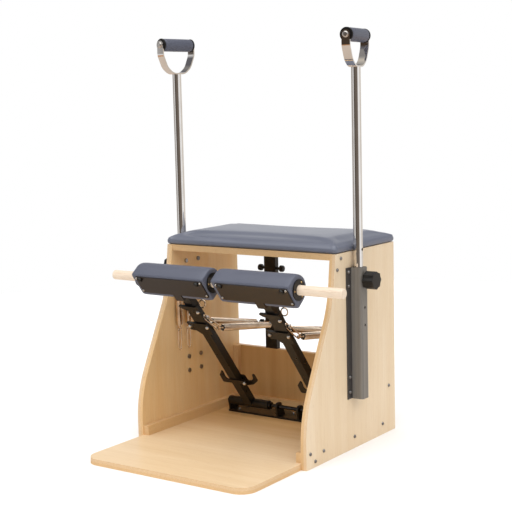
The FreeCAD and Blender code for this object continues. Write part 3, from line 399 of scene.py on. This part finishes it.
# The socket's lighter streaked colour beyond the flange is a painted highlight.
socket_coat = coated("graphite_socket", paint(66, 62, 60), paint(76, 72, 69), 0.34, 0.45,
                     paint(142, 136, 127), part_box("right_pole_socket")[0].x + SOCKET_FLANGE)
black_moulded = coated("black_moulding", paint(14, 13, 13), paint(22, 21, 21), 0.4)
chrome = plated("chrome", paint(233, 230, 227), paint(222, 218, 214), 0.04, 0.09)
nickel = plated("bright_nickel", paint(242, 225, 204), paint(220, 199, 176), 0.12, 0.24)
zinc = plated("zinc", paint(222, 219, 214), paint(184, 180, 176), 0.18, 0.34)
dull_zinc = plated("dull_zinc", paint(164, 163, 163), paint(120, 119, 120), 0.26, 0.42)
brass = plated("brass", paint(226, 196, 142), paint(190, 156, 104), 0.18, 0.32)
blackened = plated("blackened_steel", paint(62, 60, 62), paint(40, 38, 38), 0.16, 0.3)

METALS = {
    "pivot_base": black_coat, "axle_brackets": black_coat, "axle": blackened,
    "frame_screws": dull_zinc, "spare_spring_hooks": nickel}
SIDE_METALS = {
    "spring_post": black_coat, "arm": black_coat, "spring_plates": black_coat,
    "hook_cradle": black_coat, "dowel_flanges": black_coat, "pedal_plate": plate_coat,
    "pole_socket": socket_coat, "pole_guides": black_moulded, "post_pegs": black_moulded,
    "lock_knob": black_moulded, "pole": chrome, "handle_strap": chrome,
    "grip_bolt": zinc, "pedal_bolts": zinc, "snap_hooks": nickel, "spring_anchors": nickel}
for node, material in METALS.items():
    dress(node, material)
for side in SIDES:
    for node, material in SIDE_METALS.items():
        dress(f"{side}_{node}", material)
print("finishes on", len(METALS) + 2 * len(SIDE_METALS), "metal and moulded solids")

# %% [markdown]
# ## The dowel
# The foot bar is a turned hardwood dowel, pale and fine grained. Its grain runs along it, and its round
# ends show the growth rings, which noise in the plane of the end gives without any seam.

# %% Dowel
dowel_wood = Finish(bpy.data.materials.new("pale_dowel"), "Principled BSDF")
long_grain = dowel_wood.noise(dowel_wood.here(stretched(RIGHT, 1, 0.03)), 120, 4, 0.6)
pores = dowel_wood.noise(dowel_wood.here(stretched(RIGHT, 1, 0.04)), 700, 2, 0.5)
timber = dowel_wood.mix(long_grain, paint(238, 212, 182), paint(250, 233, 212))
timber = dowel_wood.mix((pores > 0.6) * 0.3, timber, paint(190, 150, 108))
dowel_wood.fill(dowel_wood.shader, {
    "Base Color": timber, "Roughness": pores * 0.2 + 0.3, "Coat Weight": 0.1, "Coat Roughness": 0.3,
    "Normal": dowel_wood.bump(pores, 0.0002, 0.4)})
dress("dowel", dowel_wood.holder)

# %% [markdown]
# ## Blue-grey vinyl
# Seat, pedal pads and grips are covered in upholstery vinyl. Its leather grain is a field of small
# cells about a millimetre across, raised by bump, and its colour and gloss drift a little over the hide.

# %% Vinyl
CELLS, GRAIN_DEPTH, GRAIN = 950.0, 0.00018, 0.12
BLUE_GLOSS, VALLEY_SHADE = (0.9, 0.94, 1, 1), paint(80, 83, 94)


def hide(name, dark_shade, light_shade, rough, shine):
    """Vinyl between two shades, with its roughness and the strength of its gloss."""
    finish = Finish(bpy.data.materials.new(name), "Principled BSDF")
    cells = finish.node("TexVoronoi", {"feature": "F1"}, {"Vector": finish.here(), "Scale": CELLS})
    drift = finish.noise(finish.here(), 9, 3, 0.55)
    creases = finish.noise(finish.here(), 240, 3, 0.6)
    # The colour darkens towards the valley colour at the cell edges: painted shade in the grain's valleys.
    finish.fill(finish.shader, {
        "Base Color": finish.mix(cells * 0.16, finish.mix(drift, dark_shade, light_shade), VALLEY_SHADE),
        "Roughness": drift * 0.12 + rough, "Specular IOR Level": shine, "Specular Tint": BLUE_GLOSS,
        "Normal": finish.bump(cells * 0.6 + creases * 0.5, GRAIN_DEPTH, GRAIN)})
    return finish.holder


seat_vinyl = hide("seat_vinyl", paint(100, 104, 118), paint(111, 115, 130), 0.26, 0.85)
# Painted shade: the pads and grips take a darker copy of the seat's vinyl.
shaded_pad_vinyl = hide("shaded_pad_vinyl", paint(90, 93, 106), paint(101, 104, 118), 0.36, 0.4)
print("vinyl for the seat, and a slightly darker one for pads and grips")

# %% [markdown]
# ## Stuffed pieces
# A cushion is a firm block of foam under a tight cover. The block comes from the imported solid, which
# is copied, merged and remeshed into even cells. Cloth with a little pressure then fills it out like
# foam behind a cover, while the points at the seams and against the boards are held. The swelling is
# capped, so the piece keeps its size.

# %% Stuffing helpers
FRAMES = 20


def foam(node, name, cell):
    """A copy of a soft solid in even cells."""
    piece = bpy.data.objects.new(name, nodes[node].data.copy())
    scene.collection.objects.link(piece)
    shape = bmesh.new()
    shape.from_mesh(piece.data)
    bmesh.ops.remove_doubles(shape, verts=shape.verts, dist=1e-5)
    shape.to_mesh(piece.data)
    shape.free()
    voxels = piece.modifiers.new("cells", "REMESH")
    voxels.mode = "VOXEL"
    voxels.voxel_size = cell
    return settle(piece)


def settle(piece):
    """Makes the modifiers' result the piece's own mesh."""
    evaluated = piece.evaluated_get(bpy.context.evaluated_depsgraph_get())
    piece.data = bpy.data.meshes.new_from_object(evaluated)
    piece.modifiers.clear()
    piece.data.name = piece.name
    piece.data.materials.clear()
    return piece


def stuff(piece, is_held, pressure, cap):
    """Lets cloth pressure push the points that aren't held, by no more than the cap."""
    rest = [point.co.copy() for point in piece.data.vertices]
    held = [index for index, spot in enumerate(rest) if is_held(spot)]
    piece.vertex_groups.new(name="held").add(held, 1, "REPLACE")
    cloth = piece.modifiers.new("cover", "CLOTH")
    cloth.settings.use_pressure = True
    cloth.settings.uniform_pressure_force = pressure
    cloth.settings.vertex_group_mass = "held"
    cloth.settings.effector_weights.gravity = 0
    cloth.point_cache.frame_end = FRAMES
    for step in range(1, FRAMES + 1):
        scene.frame_set(step)
    settle(piece)
    for point, before in zip(piece.data.vertices, rest):
        swell = point.co - before
        if swell.length > cap:
            point.co = before + swell * (cap / swell.length)
    piece.vertex_groups.clear()
    scene.frame_set(1)
    return len(held)


def upholster(piece, node, cover, body):
    """The last steps of every padded piece."""
    smooth = piece.modifiers.new("soften", "SUBSURF")
    smooth.levels = smooth.render_levels = 1
    settle(piece)
    piece.data.materials.append(cover)
    piece.data.shade_smooth()
    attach(piece, body)
    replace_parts(piece, node)


print("stuffing runs over", FRAMES, "frames")

# %% [markdown]
# ### The seat
# The seat has an upright band all round, a seam, and a top that crowns gently from it. The bottom and
# the seam are held while the top swells, and the swollen top is evened out. The seam itself is pressed
# in afterwards, because the even cells are too coarse to carry it through.

# %% Seat
SEAM_SHARE, SEAM_DEPTH, SEAM_WIDTH, SKIN = 0.43, 0.0012, 0.002, 0.012
DROP, BAND_ABOVE_SEAM, CROWN_ABOVE_SEAM = 0.001, 0.003, 0.006
seat = foam("seat_cushion", "seat", 0.005)
seat_low, seat_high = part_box("seat_cushion")
seam = seat_low.z + SEAM_SHARE * (seat_high.z - seat_low.z)
for point in seat.data.vertices:
    point.co.z -= DROP * max(0, (point.co.z - seam) / (seat_high.z - seam))
held_points = stuff(seat, lambda spot: spot.z < seam + BAND_ABOVE_SEAM, 3, 0.004)
print("seat held at", held_points, "points")
crown = [point.index for point in seat.data.vertices if point.co.z > seam + CROWN_ABOVE_SEAM]
seat.vertex_groups.new(name="crown").add(crown, 1, "REPLACE")
even = seat.modifiers.new("even", "SMOOTH")
even.factor, even.iterations, even.vertex_group = 0.5, 8, "crown"
settle(seat)
seat.vertex_groups.clear()
upholster(seat, "seat_cushion", seat_vinyl, "frame")
for point in seat.data.vertices:
    press = SEAM_DEPTH * math.exp(-((point.co.z - seam) / SEAM_WIDTH) ** 2)
    if seat_high.x - abs(point.co.x) < SKIN:
        point.co.x -= math.copysign(press, point.co.x)
    if point.co.y - seat_low.y < SKIN:
        point.co.y += press
    elif seat_high.y - point.co.y < SKIN:
        point.co.y -= press
print("seat", len(seat.data.vertices), "points")

# %% [markdown]
# ### The pedal pads
# Each pad is a block with a round back, bored for the dowel and slotted for the pedal arm. Only its
# outer skin may swell. The bore, the slot and the flat front that lies on the pedal plate are held.

# %% Pedal frame and pads
ARM_RISE, ARM_RUN = 408, 321
SLOPE = math.atan2(ARM_RISE, ARM_RUN)
behind_arm = Vector((0, math.sin(SLOPE), math.cos(SLOPE)))
along_arm = Vector((0, -math.cos(SLOPE), math.sin(SLOPE)))
joints = {joint["name"]: joint for joint in frame["joints"]}
pivots = {side: Vector(joints[side + "_pedal_press"]["pos_m"]) for side in SIDES}
DOWEL_ALONG, DOWEL_BEHIND = 0.554, 0.001
SLOT_HALF, SLOT_TOP, PAD_FRONT, BORE_SKIN = 0.022, 0.012, -0.026, 0.030


def on_pedal(side, across, behind, along):
    """A point beside the pedal's pivot, behind the arm's line and along it."""
    return pivots[side] + Vector((across, 0, 0)) + behind_arm * behind + along_arm * along


for side in SIDES:
    centre = on_pedal(side, 0, DOWEL_BEHIND, DOWEL_ALONG)

    def is_held(spot):
        """Whether a point of the pad lies in its slot, on its front or round its bore."""
        offset = spot - centre
        behind, along = offset.dot(behind_arm), offset.dot(along_arm)
        slot = abs(offset.x) < SLOT_HALF and along < SLOT_TOP
        return slot or behind < PAD_FRONT or math.hypot(behind, along) < BORE_SKIN

    pad = foam(side + "_pedal_pad", side + "_pad", 0.003)
    print(side, "pad held at", stuff(pad, is_held, 4, 0.002), "points")
    upholster(pad, side + "_pedal_pad", shaded_pad_vinyl, side + "_pedal")

# %% [markdown]
# ### The grips
# A grip is a vinyl sleeve that turns on a long bolt, between two black discs. It is round, so one line
# of points is spun about the bolt. Its sleeve is drawn in a little where the discs press on it.

# %% Turned pieces
TURNS = 48


def turned(name, outline, place, material, body, slot):
    """Spins (distance along, radius) points about the place's own Z."""
    shape = bmesh.new()
    points = [shape.verts.new((radius, 0, along)) for along, radius in outline]
    edges = [shape.edges.new(pair) for pair in zip(points, points[1:])]
    bmesh.ops.spin(shape, geom=points + edges, cent=(0, 0, 0), axis=(0, 0, 1), angle=2 * math.pi,
                   steps=TURNS, use_merge=True)
    return placed(name, shape, place, material, body)


def placed(name, shape, place, material, body):
    """Puts a shape in its place in the mesh, and on its body."""
    bmesh.ops.remove_doubles(shape, verts=shape.verts, dist=1e-6)
    bmesh.ops.transform(shape, matrix=place, verts=shape.verts)
    bmesh.ops.recalc_face_normals(shape, faces=shape.faces)
    piece = bpy.data.objects.new(name, bpy.data.meshes.new(name))
    shape.to_mesh(piece.data)
    shape.free()
    piece.data.materials.append(material)
    piece.data.shade_smooth()
    piece.data.set_sharp_from_angle(angle=math.radians(40))
    scene.collection.objects.link(piece)
    if body:
        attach(piece, body)
    return piece


def line_place(start, heading):
    """A place whose Z runs along the heading."""
    return Matrix.Translation(start) @ heading.to_track_quat("Z", "Y").to_matrix().to_4x4()


print("turned pieces have", TURNS, "steps")

# %% Grips and their discs
SLEEVE, DISC = 0.0582, 0.004
sleeve_outline = [
    (-SLEEVE, 0.0055), (-SLEEVE, 0.0165), (-SLEEVE + 0.0008, 0.0178), (-SLEEVE + 0.003, 0.0187),
    (-SLEEVE + 0.012, 0.0190), (0, 0.0191), (SLEEVE - 0.012, 0.0190), (SLEEVE - 0.003, 0.0187),
    (SLEEVE - 0.0008, 0.0178), (SLEEVE, 0.0165), (SLEEVE, 0.0055), (-SLEEVE, 0.0055)]
disc_outline = [
    (0, 0.0055), (0, 0.0186), (0.0009, 0.0195), (DISC - 0.0009, 0.0195), (DISC, 0.0186),
    (DISC, 0.0055), (0, 0.0055)]
for side in SIDES:
    joint = joints[side + "_grip_turn"]
    bolt = Vector(joint["axis"]).normalized()
    middle = Vector(joint["pos_m"])
    sleeve = turned(side + "_sleeve", sleeve_outline, line_place(middle, bolt), shaded_pad_vinyl,
                    side + "_grip", "grey_vinyl")
    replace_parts(sleeve, side + "_handle_grip")
    for end, heading in (("front", -bolt), ("rear", bolt)):
        turned(f"{side}_{end}_disc", disc_outline, line_place(middle + heading * SLEEVE, heading),
               black_moulded, side + "_grip", "black_plastic")
    print(side, "grip at", [round(n, 3) for n in middle])

# %% [markdown]
# ## Springs
# The working springs are close wound, so from a distance each looks like a ribbed tube. A small ring of
# points is spun about the spring's line and lifted a wire's width for every turn: that is a screw, and
# it winds the whole coil in one step. Each coil runs from the pedal to the frame. A dark plug in each
# front end is painted shade, for the shadowed inside of the coil, and a nickel ferrule sits on the hook
# before it.

# %% Springs
WIRE, COIL, ANCHOR, WIND = 0.0016, 0.0094, 0.056, 2.06
STEPS, SIDES_OF_WIRE = 14, 6
PIN_ACROSS, POST_ACROSS, PEG_ACROSS, PEG_HEIGHT = 0.020, 0.1395, 0.0278, 0.286
POST_DEPTH, FERRULE_LEAD = 0.487, 0.024


def coil(name, start, end, body):
    """A close-wound spring between two points."""
    length = (end - start).length
    turns = int(length / (WIND * WIRE))
    shape = bmesh.new()
    ring = bmesh.ops.create_circle(
        shape, segments=SIDES_OF_WIRE, radius=WIRE,
        matrix=Matrix.Translation((COIL, 0, 0)) @ Matrix.Rotation(math.pi / 2, 4, "X"))["verts"]
    edges = list({edge for point in ring for edge in point.link_edges})
    bmesh.ops.spin(shape, geom=ring + edges, cent=(0, 0, 0), axis=(0, 0, 1), angle=2 * math.pi * turns,
                   steps=turns * STEPS, dvec=(0, 0, (length - 2 * WIRE) / (turns * STEPS)))
    bmesh.ops.translate(shape, verts=shape.verts, vec=(0, 0, WIRE))
    bmesh.ops.holes_fill(shape, edges=[edge for edge in shape.edges if edge.is_boundary])
    return placed(name, shape, line_place(start, end - start), nickel, body)


shade_plug_outline = [(0.001, 0), (0.001, 0.0066), (0.002, 0.0078), (0.006, 0.0078), (0.006, 0)]
ferrule_outline = [
    (0, 0.0018), (0.0008, 0.0036), (0.003, 0.0046), (0.009, 0.0046), (0.0112, 0.0036), (0.012, 0.0018)]
post_middle = panel_front + POST_DEPTH
for side, sign in SIDES.items():
    for mirror, along, lead in ((-1, 0.381, 0.072), (1, 0.351, 0.051)):
        which = "outer" if mirror == sign else "inner"
        aim = on_pedal(side, mirror * PIN_ACROSS, 0, along)
        rear = Vector((sign * POST_ACROSS + mirror * PEG_ACROSS, post_middle, PEG_HEIGHT))
        line = (rear - aim).normalized()
        start, end = aim + line * lead, rear - line * ANCHOR
        spring = coil(f"{side}_{which}_coil", start, end, None)
        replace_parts(spring, f"{side}_{which}_spring")
        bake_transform(spring)
        # The dark plug is painted shade: a black disc where the coil's open end shows only its shadowed
        # inside.
        turned(f"{side}_{which}_shade_plug", shade_plug_outline, line_place(start, line), black_moulded,
               side + "_pedal", "black_plastic")
        turned(f"{side}_{which}_ferrule", ferrule_outline,
               line_place(aim + line * (lead - FERRULE_LEAD), line), nickel, side + "_pedal", "spring_steel")
    print(side, "springs", round((end - start).length, 3), "m long")

# %% Spare springs
for which in ("front", "rear"):
    low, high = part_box(which + "_spare_spring")
    centre = (low + high) / 2
    start, end = (Vector((centre.x, centre.y, level)) for level in (low.z, high.z))
    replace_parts(coil(which + "_spare_coil", start, end, "frame"), which + "_spare_spring")
    print(which, "spare spring", round(high.z - low.z, 3), "m long")

# %% [markdown]
# ## Bolts and screws on the pedals
# Black hexagon bolts hold each plate near its upper corners, and small brass screws hold the flanges
# round the dowel. A bolt is a six-sided prism with its edges broken by a bevel. The screws are flat
# domes, three round each hole.

# %% Pedal bolts and flange screws
BOLT, BOLT_HEIGHT = 0.0079, 0.0068
SCREW, SCREW_RING, FIRST_SCREW = 0.0026, 0.0228, 25
PLATE_HALF_WIDTH, PLATE_HALF_HEIGHT, PLATE_MIDDLE, PLATE_FACE = 0.120, 0.064, 0.527, -0.0345
screw_outline = [
    (0, 0), (0, SCREW), (0.0006, SCREW * 0.97), (0.0012, SCREW * 0.75), (0.0015, SCREW * 0.4), (0.0016, 0)]
for side in SIDES:
    flange_ends = dict(zip(SIDES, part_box(side + "_dowel_flanges")))
    for end, mirror in SIDES.items():
        bolt = bmesh.new()
        bmesh.ops.create_cone(bolt, cap_ends=True, segments=6, radius1=BOLT, radius2=BOLT,
                              depth=BOLT_HEIGHT, matrix=Matrix.Translation((0, 0, BOLT_HEIGHT / 2)))
        bmesh.ops.bevel(bolt, geom=bolt.edges[:], offset=0.0009, affect="EDGES", segments=3, profile=0.5,
                        material=-1)
        spot = on_pedal(side, mirror * 0.855 * PLATE_HALF_WIDTH, PLATE_FACE,
                        PLATE_MIDDLE + 0.88 * PLATE_HALF_HEIGHT)
        placed(f"{side}_{end}_hex_bolt", bolt, line_place(spot, -behind_arm), black_moulded,
               side + "_pedal")
        for index in range(3):
            angle = math.radians(FIRST_SCREW + 120 * index)
            spot = on_pedal(side, flange_ends[end].x - pivots[side].x,
                            DOWEL_BEHIND + SCREW_RING * math.cos(angle),
                            DOWEL_ALONG + SCREW_RING * math.sin(angle))
            turned(f"{side}_{end}_flange_screw_{index}", screw_outline,
                   line_place(spot, Vector((mirror, 0, 0))), brass, side + "_pedal", "screw_steel")
    print(side, "bolts and screws on the pedal")
